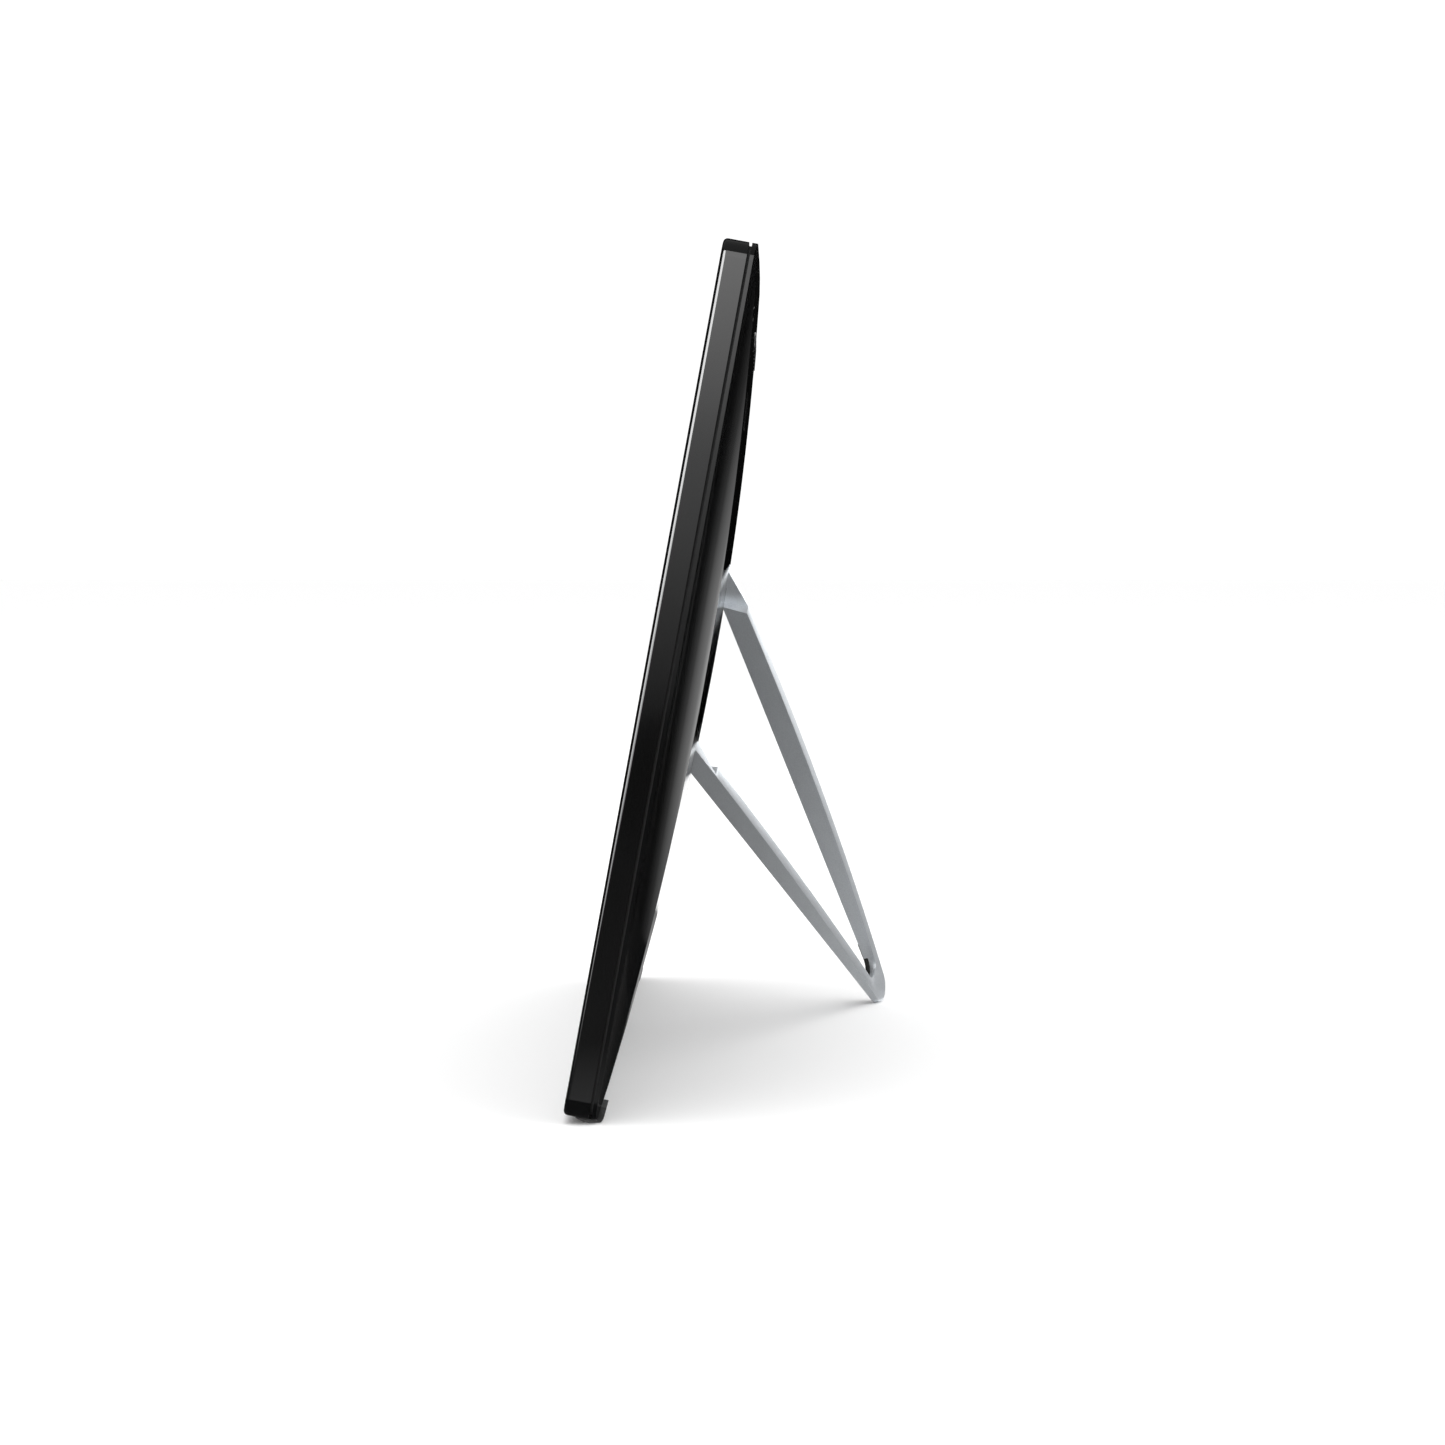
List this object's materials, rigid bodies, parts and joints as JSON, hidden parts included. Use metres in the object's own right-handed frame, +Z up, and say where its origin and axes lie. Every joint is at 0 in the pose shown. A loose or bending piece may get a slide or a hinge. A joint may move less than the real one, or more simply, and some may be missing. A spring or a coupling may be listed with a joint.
{
  "type": "digital photo frame",
  "caption": "Slim landscape digital picture frame in gloss black, leaning back on a leaf-shaped silver loop stand that folds flush into its crowned rear cover.",
  "frame": {"origin": "centre of the footprint of the standing frame, on the table plane", "axes": "+Z up; +X along the width of the screen; the screen faces -Y and the stand opens towards +Y"},
  "size_m": [0.2708, 0.0766, 0.1885],
  "materials": {
    "bezel_gloss": "polished black",
    "cover_gloss": "polished black",
    "key_gloss": "polished black",
    "window": "polished clear over the dark screen",
    "lcd": "dark glossy panel",
    "guide": "clear acrylic",
    "circuit_board": "green solder mask",
    "sheet_steel": "plain zinc plated sheet",
    "screw_steel": "blackened",
    "socket_metal": "nickel plated",
    "black_plastic": "moulded black",
    "coil_ferrite": "sintered grey",
    "flex_film": "amber film",
    "foam": "soft foam",
    "rubber": "matt black",
    "satin_metal": "satin silver with a fine grain",
    "hinge_steel": "plain",
    "cell_steel": "bright"
  },
  "bodies": {
    "frame": {"board_screws": "screw_steel", "bottom_feet": "rubber", "card_socket": "socket_metal", "cell_holder": "black_plastic", "chassis_plate": "sheet_steel", "chassis_screws": "screw_steel", "coin_cell": "cell_steel", "cover_screws": "screw_steel", "display_flex": "flex_film", "flex_connector": "black_plastic", "front_bezel": "bezel_gloss", "hinge_brackets": "hinge_steel", "hinge_screws": "screw_steel", "key_board": "circuit_board", "key_board_screws": "screw_steel", "key_switches": "black_plastic", "lcd_panel": "lcd", "led_strip": "circuit_board", "light_guide": "guide", "main_board": "circuit_board", "memory_chips": "black_plastic", "panel_clips": "sheet_steel", "panel_tray": "sheet_steel", "power_coils": "coil_ferrite", "power_jack": "black_plastic", "processor": "black_plastic", "rear_cover": "cover_gloss", "screen_window": "window", "side_feet": "rubber", "speaker_gaskets": "foam", "speakers": "black_plastic", "usb_socket": "socket_metal"},
    "stand": {"stand_loop": "satin_metal", "stand_pad": "rubber", "hinge_shaft": "hinge_steel", "friction_washers": "hinge_steel", "shaft_clips": "hinge_steel"},
    "power_key": {"power_key": "key_gloss"},
    "menu_key": {"menu_key": "key_gloss"},
    "back_key": {"back_key": "key_gloss"},
    "previous_key": {"previous_key": "key_gloss"},
    "next_key": {"next_key": "key_gloss"},
    "select_key": {"select_key": "key_gloss"}
  },
  "joints": [
    {"name": "stand_hinge", "type": "hinge", "parent": "frame", "child": "stand", "pos_m": [0.00462, -0.01088, 0.09669], "axis": [0.7071, -0.1283, -0.6954], "range_deg": [-29.5, 0]},
    {"name": "power_key_press", "type": "slide", "parent": "frame", "child": "power_key", "axis": [0, -0.9834, 0.1814], "range_m": [0, 0.0003], "stiffness_N_per_m": 400},
    {"name": "menu_key_press", "type": "slide", "parent": "frame", "child": "menu_key", "axis": [0, -0.9834, 0.1814], "range_m": [0, 0.0003], "stiffness_N_per_m": 400},
    {"name": "back_key_press", "type": "slide", "parent": "frame", "child": "back_key", "axis": [0, -0.9834, 0.1814], "range_m": [0, 0.0003], "stiffness_N_per_m": 400},
    {"name": "previous_key_press", "type": "slide", "parent": "frame", "child": "previous_key", "axis": [0, -0.9834, 0.1814], "range_m": [0, 0.0003], "stiffness_N_per_m": 400},
    {"name": "next_key_press", "type": "slide", "parent": "frame", "child": "next_key", "axis": [0, -0.9834, 0.1814], "range_m": [0, 0.0003], "stiffness_N_per_m": 400},
    {"name": "select_key_press", "type": "slide", "parent": "frame", "child": "select_key", "axis": [0, -0.9834, 0.1814], "range_m": [0, 0.0003], "stiffness_N_per_m": 400}
  ]
}
